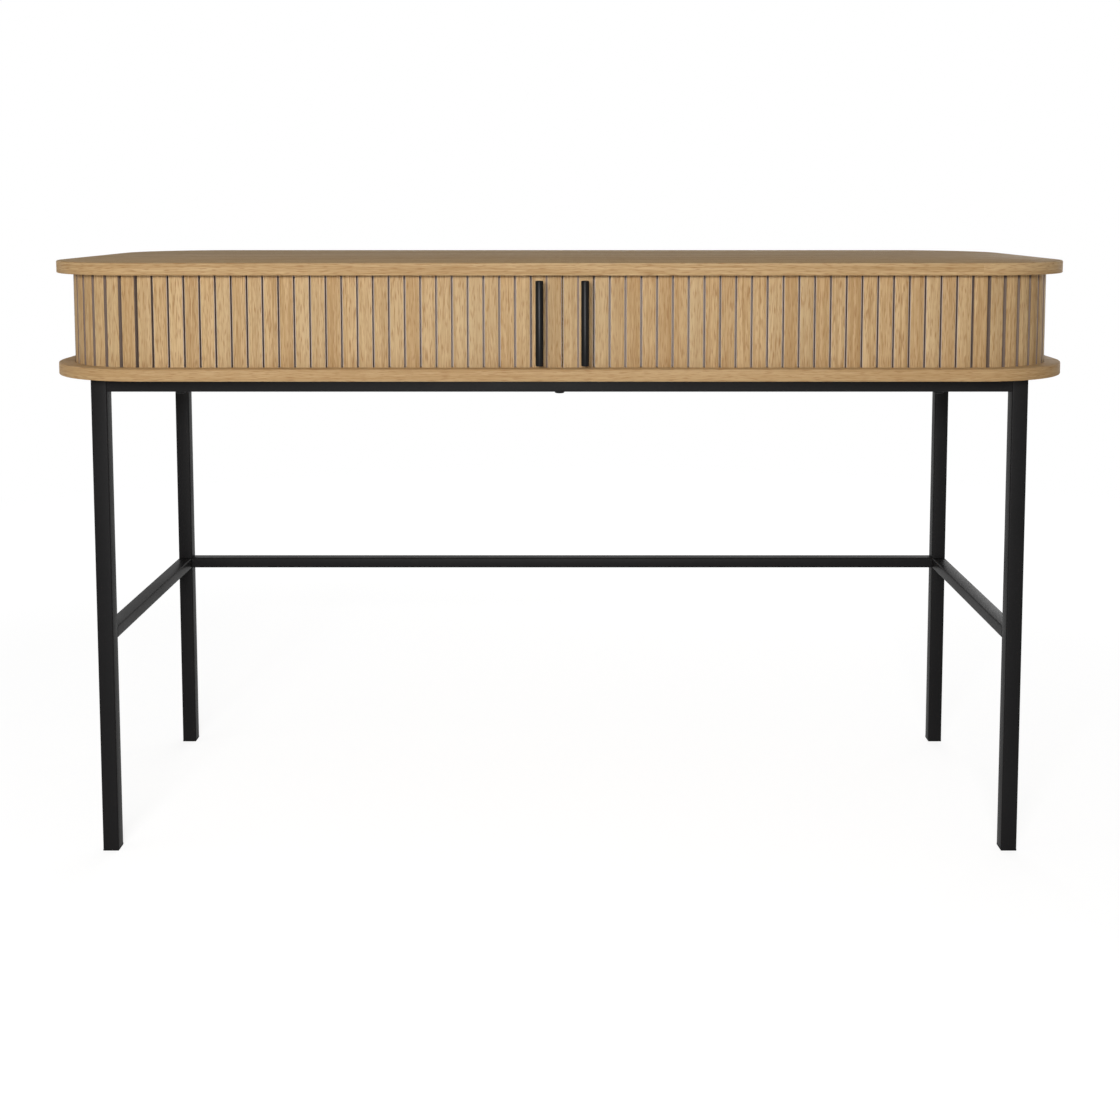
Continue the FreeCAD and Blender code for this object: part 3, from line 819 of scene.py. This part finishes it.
links.new(tones.outputs[1], keep_tone.inputs["Value"])
links.new(keep_tone.outputs[0], keep_shift.inputs["Geometry"])
links.new(shifts.outputs[0], keep_shift.inputs["Value"])
links.new(keep_shift.outputs[0], realize.inputs[0])
links.new(realize.outputs[0], paint.inputs["Geometry"])
links.new(given.outputs["Finish"], paint.inputs["Material"])
painted = paint
for mark, finish in (("slat_edge", "Edge Finish"), ("slat_wall", "Wall Finish")):
    marked = nodes.new("GeometryNodeInputNamedAttribute")
    marked.data_type = "BOOLEAN"
    marked.inputs["Name"].default_value = mark
    paint_marked = nodes.new("GeometryNodeSetMaterial")
    links.new(painted.outputs[0], paint_marked.inputs["Geometry"])
    links.new(marked.outputs["Attribute"], paint_marked.inputs["Selection"])
    links.new(given.outputs[finish], paint_marked.inputs["Material"])
    painted = paint_marked
links.new(painted.outputs[0], result.inputs[0])
print("slat tree nodes:", len(nodes))

# %% Lay the slats of both doors


def grow(name, base, tree, values):
    """Run a node tree on a base object and keep the result as a plain mesh."""
    modifier = base.modifiers.new("grow", "NODES")
    modifier.node_group = tree
    for item in tree.interface.items_tree:
        if item.in_out == "INPUT" and item.name in values:
            modifier[item.identifier] = values[item.name]
    bpy.context.view_layer.update()
    depsgraph = bpy.context.evaluated_depsgraph_get()
    mesh = bpy.data.meshes.new_from_object(base.evaluated_get(depsgraph), depsgraph=depsgraph)
    mesh.name = name
    base.modifiers.remove(modifier)
    made = bpy.data.objects.new(name, mesh)
    scene.collection.objects.link(made)
    return made


def run_at(node, sign):
    """Where along the cloth line the front slats of a door start."""
    low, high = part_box(node)
    return abs(high[0] if sign < 0 else low[0]) - (PITCH - SLAT_WIDTH) / 2


SLAT_COUNTS = {"left": (24, 10, 13, 11), "right": (24, 9, 14, 10)}
RUN_NAMES = ("front", "corner", "side", "rear")
FIRST_SEED = {"left": 11, "right": 21}
run_ends = {}
for side, sign, line in (("left", -1, left_line), ("right", 1, right_line)):
    path = curve_object(side + "_line", line)
    run = run_at(f"{side}_front_slats", sign)
    ends = [run]
    for order, (part, count) in enumerate(zip(RUN_NAMES, SLAT_COUNTS[side])):
        node = f"{side}_{part}_slats"
        values = {
            "Slat": blank,
            "Count": count,
            "First": run if sign > 0 else DOOR_LINE_LENGTH - run,
            "Step": sign * PITCH,
            "Seed": FIRST_SEED[side] + order,
            "Finish": slat_oak,
            # The corner slats' eased edges take the painted shade finish.
            "Edge Finish": bend_painted_shade if part == "corner" else edge_grey,
            "Wall Finish": wall_brown,
        }
        slats = grow(node + "_oak", path, slat_tree, values)
        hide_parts(node)
        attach(slats, f"{side}_door" if part == "front" else "desk")
        run += count * PITCH
        ends.append(run)
    run_ends[side] = ends
    bpy.data.objects.remove(path)
    print(side, "door runs end at", [round(end, 3) for end in ends])
bpy.data.objects.remove(blank)

# %% [markdown]
# ## Lead stiles
# The leading edge of each door is a stiffer strip, two slats wide, with a
# shallow line down its middle. It carries the handle. A boolean could cut the
# line, but a section that has the line in it and is pulled up to the slats'
# height keeps its edges clean.

# %% Build the lead stiles
LINE_WIDTH = 0.0016
LINE_DEPTH = 0.0010
LINE_LIP = 0.0004
LINE_TURN = 0.5
STILE_TONES = (-0.6, 0.8)
STILE_SHIFTS = ((4.0, 1.0, 2.0), (7.0, 1.0, 2.0))
tone_source = random.Random(5)


def stile_line(middle, front):
    """The shallow line of a stile, from left to right."""
    half = LINE_WIDTH / 2
    return [
        (middle - half - LINE_LIP, front), (middle - half, front + LINE_LIP),
        (middle - half, front + LINE_DEPTH), (middle + half, front + LINE_DEPTH),
        (middle + half, front + LINE_LIP), (middle + half + LINE_LIP, front),
    ]


def in_line(face, middle, front):
    """True for a face of the shallow line."""
    inside = abs(face.center.x - middle) < LINE_WIDTH and face.center.y > front
    return inside and face.normal.y < LINE_TURN and abs(face.normal.z) < LINE_TURN


def lead_stile(name, low, high):
    """A strip with eased front edges and a shallow line."""
    middle = (low[0] + high[0]) / 2
    front, back = low[1], high[1]
    section = [(low[0], back)] + eased_edge(low[0], front, 1) + stile_line(middle, front)
    section += eased_edge(high[0], front, -1)[::-1] + [(high[0], back)]
    made = finish_mesh(pulled_up(section, low[2], high[2]), name, slat_oak, edge_grey, wall_brown)
    for face in made.data.polygons:
        if is_edge(face):
            face.material_index = 1
        elif is_wall(face) or in_line(face, middle, front):
            face.material_index = 2
    tones = made.data.attributes.new("slat_tone", "FLOAT", "POINT")
    shifts = made.data.attributes.new("slat_shift", "FLOAT_VECTOR", "POINT")
    pair = (tone_source.uniform(*STILE_TONES), tone_source.uniform(*STILE_TONES))
    for vertex in made.data.vertices:
        right_half = vertex.co.x > middle
        tones.data[vertex.index].value = pair[right_half]
        shifts.data[vertex.index].vector = STILE_SHIFTS[right_half]
    return made


for side in ("left", "right"):
    node = f"{side}_lead_stile"
    stile = lead_stile(node + "_oak", *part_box(node))
    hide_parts(node)
    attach(stile, f"{side}_door")
    print(stile.name, "is", round(stile.dimensions.x * 1000, 1), "mm wide")

# %% [markdown]
# ## Backing cloth
# The cloth follows the same line just behind the slats. A simulation could
# drape it, but glued cloth keeps the line of its slats. So it is a strip of
# points along the line with a small thickness, and a UV map in metres for its
# weave. The front part rides with its door.

# %% Follow the line of the cloth


def on_line(run):
    """Place and turn at a run along the right door's cloth line."""
    quarter = BEND_RADIUS * math.pi / 2
    if run <= STRAIGHT:
        return run, FRONT_Y, 0.0
    run -= STRAIGHT
    if run <= quarter:
        turn = run / BEND_RADIUS
        y = FRONT_Y + BEND_RADIUS * (1 - math.cos(turn))
        return STRAIGHT + BEND_RADIUS * math.sin(turn), y, turn
    run -= quarter
    if run <= SIDE_RUN:
        return STRAIGHT + BEND_RADIUS, FRONT_Y + BEND_RADIUS + run, math.pi / 2
    run -= SIDE_RUN
    if run <= quarter:
        turn = math.pi / 2 + run / BEND_RADIUS
        y = FRONT_Y + BEND_RADIUS * (1 - math.cos(turn)) + SIDE_RUN
        return STRAIGHT + BEND_RADIUS * math.sin(turn), y, turn
    run -= quarter
    return STRAIGHT - run, FRONT_Y + 2 * BEND_RADIUS + SIDE_RUN, math.pi


print("the cloth starts to turn at", round(STRAIGHT, 3), "m from the middle")

# %% Build the cloth
CLOTH_SEAT = 0.0001
CLOTH_THICK = 0.0006
CLOTH_STEP = 0.006


def cloth_strip(name, sign, start, stop, low, high):
    """A strip of cloth behind the slats from one run to another."""
    bm = bmesh.new()
    weave_map = bm.loops.layers.uv.new("weave")
    count = max(2, math.ceil((stop - start) / CLOTH_STEP))
    far_side = CLOTH_SEAT + CLOTH_THICK
    section = ((CLOTH_SEAT, low), (CLOTH_SEAT, high), (far_side, high), (far_side, low))
    rows = []
    for number in range(count + 1):
        run = start + (stop - start) * number / count
        x, y, turn = on_line(run)
        row = []
        for inward, z in section:
            px = sign * (x - inward * math.sin(turn))
            py = y + inward * math.cos(turn)
            row.append(bm.verts.new((px, py, z)))
        rows.append((run, row))
    for (run_a, row_a), (run_b, row_b) in zip(rows, rows[1:]):
        for i in range(len(section)):
            j = (i + 1) % len(section)
            face = bm.faces.new((row_a[i], row_a[j], row_b[j], row_b[i]))
            for loop, run in zip(face.loops, (run_a, run_a, run_b, run_b)):
                loop[weave_map].uv = (run, loop.vert.co.z)
    bm.faces.new(rows[0][1])
    bm.faces.new(rows[-1][1])
    bmesh.ops.recalc_face_normals(bm, faces=bm.faces)
    return finish_mesh(bm, name, canvas_grey)


for side, sign in (("left", -1), ("right", 1)):
    ends = run_ends[side]
    stretches = (("front", ends[0], ends[1]), ("end", ends[1], ends[-1]))
    for part, start, stop in stretches:
        node = f"{side}_{part}_cloth"
        low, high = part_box(node)
        cloth = cloth_strip(node + "_canvas", sign, start, stop, low[2], high[2])
        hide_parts(node)
        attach(cloth, f"{side}_door" if part == "front" else "desk")

# %% [markdown]
# ## The front runs
# A real tambour turns the corner. Slats on a plain slide can't each follow the
# bend. The front slats and the front cloth of each door get meshes of their
# own.

# %% Give the front runs their own meshes
for side, sign in (("left", -1), ("right", 1)):
    for name in (f"{side}_front_slats_oak", f"{side}_front_cloth_canvas"):
        piece = bpy.data.objects[name]
        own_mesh(piece)

# %% [markdown]
# ## Square tube and boards
# The legs, rails and stretchers are square tube with softly rounded edges, and
# the boards inside the cabinet have slightly eased ones. A section could be
# swept along each tube, but no open end shows, so a block looks the same.
# Both start from the box of their node, and the chosen edges are rounded.

# %% Build the frame
ALONG_X, ALONG_Y, ALONG_Z = 0, 1, 2
PARALLEL = 0.9
TUBE_RADIUS = 0.0018
TUBE_STEPS = 4


def eased_block(name, low, high, radius, steps, material, axis=None):
    """A block with rounded edges: only those along one axis, or all of them."""
    bm = bmesh.new()
    bmesh.ops.create_cube(bm, size=1)
    for vertex in bm.verts:
        for i in range(3):
            vertex.co[i] = low[i] if vertex.co[i] < 0 else high[i]
    edges = []
    for edge in bm.edges:
        direction = edge.verts[1].co - edge.verts[0].co
        if axis is None or abs(direction[axis]) > PARALLEL * direction.length:
            edges.append(edge)
    bmesh.ops.bevel(bm, geom=edges, offset=radius, segments=steps, profile=0.5, affect="EDGES")
    bmesh.ops.recalc_face_normals(bm, faces=bm.faces)
    return finish_mesh(bm, name, material)


TUBES = {
    "front_left_leg": ALONG_Z, "front_right_leg": ALONG_Z,
    "rear_left_leg": ALONG_Z, "rear_right_leg": ALONG_Z,
    "front_rail": ALONG_X, "rear_rail": ALONG_X,
    "left_rail": ALONG_Y, "right_rail": ALONG_Y,
    "left_stretcher": ALONG_Y, "right_stretcher": ALONG_Y, "rear_stretcher": ALONG_X,
}
for node, axis in TUBES.items():
    low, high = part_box(node)
    tube = eased_block(node + "_tube", low, high, TUBE_RADIUS, TUBE_STEPS, frame_black, axis)
    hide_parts(node)
    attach(tube, "desk")
print(len(TUBES), "tubes with edges of", TUBE_RADIUS * 1000, "mm radius")

# %% Build the boards
BOARD_EASE = 0.0006
EASE_STEPS = 2
BOARDS = {
    "left_upright": upright_oak, "divider": upright_oak, "right_upright": upright_oak,
    "inner_back": board_oak, "outer_back": board_oak,
}
for node, material in BOARDS.items():
    low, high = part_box(node)
    board = eased_block(node + "_board", low, high, BOARD_EASE, EASE_STEPS, material)
    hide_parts(node)
    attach(board, "desk")
print(len(BOARDS), "boards")

# %% [markdown]
# ## Handles
# Each handle is a round black bar with eased ends. A bevelled cylinder would
# do, but rings of points stacked up an axis also make the bolts later. The two
# posts behind a bar keep their measured shape.

# %% Build the handle bars
BAR_EASE = 0.0009
BAR_SIDES = 40


def turned_bar(name, centre, rings, material, sides):
    """A round bar from rings of (radius, height)."""
    bm = bmesh.new()
    placed = []
    for radius, height in rings:
        ring = []
        for step in range(sides):
            angle = 2 * math.pi * step / sides
            x = centre[0] + radius * math.cos(angle)
            y = centre[1] + radius * math.sin(angle)
            ring.append(bm.verts.new((x, y, height)))
        placed.append(ring)
    for lower, upper in zip(placed, placed[1:]):
        for i in range(sides):
            j = (i + 1) % sides
            bm.faces.new((lower[i], lower[j], upper[j], upper[i]))
    bm.faces.new(placed[0][::-1])
    bm.faces.new(placed[-1])
    bmesh.ops.recalc_face_normals(bm, faces=bm.faces)
    return finish_mesh(bm, name, material)


for side in ("left", "right"):
    node = f"{side}_handle_bar"
    low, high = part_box(node)
    radius = (high[0] - low[0]) / 2
    centre = ((low[0] + high[0]) / 2, (low[1] + high[1]) / 2)
    profile = eased_profile(low[2], high[2], BAR_EASE)
    rings = [(radius - inset, height) for inset, height in profile]
    bar = turned_bar(node + "_black", centre, rings, handle_black, BAR_SIDES)
    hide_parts(node)
    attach(bar, f"{side}_door")
    print(bar.name, "is", round(2000 * radius, 1), "mm thick")

# %% [markdown]
# ## Bolts and foot plugs
# The rails are bolted up into the bottom panel, and a plug closes each leg.
# These repeat, so one bolt and one plug are made, and Geometry Nodes set a
# copy on each point of a small point cloud.

# %% Build the tree that sets copies on points
copy_tree, given, result = new_tree(
    "set_copies", (("Piece", "NodeSocketObject"), ("Finish", "NodeSocketMaterial"))
)
nodes = copy_tree.nodes
links = copy_tree.links
pick = nodes.new("GeometryNodeObjectInfo")
set_copies = nodes.new("GeometryNodeInstanceOnPoints")
realize = nodes.new("GeometryNodeRealizeInstances")
paint = nodes.new("GeometryNodeSetMaterial")
links.new(given.outputs["Piece"], pick.inputs["Object"])
links.new(given.outputs["Geometry"], set_copies.inputs["Points"])
links.new(pick.outputs["Geometry"], set_copies.inputs["Instance"])
links.new(set_copies.outputs[0], realize.inputs[0])
links.new(realize.outputs[0], paint.inputs["Geometry"])
links.new(given.outputs["Finish"], paint.inputs["Material"])
links.new(paint.outputs[0], result.inputs[0])
print("copy tree nodes:", len(nodes))


def copies(name, piece, places, material):
    """Copies of one piece at several places, as one mesh."""
    cloud = bpy.data.meshes.new(name + "_places")
    cloud.from_pydata(places, [], [])
    base = bpy.data.objects.new(name + "_places", cloud)
    scene.collection.objects.link(base)
    made = grow(name, base, copy_tree, {"Piece": piece, "Finish": material})
    bpy.data.objects.remove(base)
    bpy.data.objects.remove(piece)
    return made


# %% Set the bolts
HEAD_RADIUS = 0.00625
HEAD_HEIGHT = 0.0025
SHANK_RADIUS = 0.003
BOLT_SIDES = 24
# Radius and height of each ring, with the seat of the head at zero.
RECESS = [(0.0021, -0.0012), (0.0023, -HEAD_HEIGHT)]
DOME = [(0.0044, -HEAD_HEIGHT), (0.0056, -0.0021), (0.0061, -0.0013), (HEAD_RADIUS, -0.0004)]
bolt_low, bolt_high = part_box("rail_bolts")
seat = bolt_low[2] + HEAD_HEIGHT
shank = [(HEAD_RADIUS, 0.0), (SHANK_RADIUS, 0.0), (SHANK_RADIUS, bolt_high[2] - seat)]
bolt = turned_bar("bolt_blank", (0, 0), RECESS + DOME + shank, bolt_black, BOLT_SIDES)
bolt_places = []
for x in (bolt_low[0] + HEAD_RADIUS, 0.0, bolt_high[0] - HEAD_RADIUS):
    for y in (bolt_low[1] + HEAD_RADIUS, bolt_high[1] - HEAD_RADIUS):
        bolt_places.append((x, y, seat))
bolts = copies("rail_bolts_black", bolt, bolt_places, bolt_black)
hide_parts("rail_bolts")
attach(bolts, "desk")
print(len(bolt_places), "bolts,", len(bolts.data.polygons), "faces")

# %% Set the foot plugs
foot_low, foot_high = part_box("foot_plugs")
leg_low, leg_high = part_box("front_left_leg")
half_tube = (leg_high[0] - leg_low[0]) / 2
PLUG_EASE = 0.0008
plug_low = (-half_tube, -half_tube, 0)
plug_high = (half_tube, half_tube, leg_low[2])
plug = eased_block("plug_blank", plug_low, plug_high, PLUG_EASE, EASE_STEPS, foot_black)
plug_places = []
for x in (foot_low[0] + half_tube, foot_high[0] - half_tube):
    for y in (foot_low[1] + half_tube, foot_high[1] - half_tube):
        plug_places.append((x, y, 0.0))
plugs = copies("foot_plugs_black", plug, plug_places, foot_black)
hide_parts("foot_plugs")
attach(plugs, "desk")
print(len(plug_places), "foot plugs")

# %% [markdown]
# ## Small pieces that keep their measured shape
# The posts and screws of the handles, the dowels and the stop block are right
# as they are, so they only get a finish.

# %% Paint the pieces that stay
KEPT = {
    "left_handle_posts": handle_black, "right_handle_posts": handle_black,
    "left_handle_screws": screw_steel, "right_handle_screws": screw_steel,
    "carcass_dowels": board_oak, "rear_stop": board_oak,
}
for node, material in KEPT.items():
    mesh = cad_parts[node].data
    mesh.materials.clear()
    mesh.materials.append(material)
print(len(KEPT), "pieces keep their measured shape")
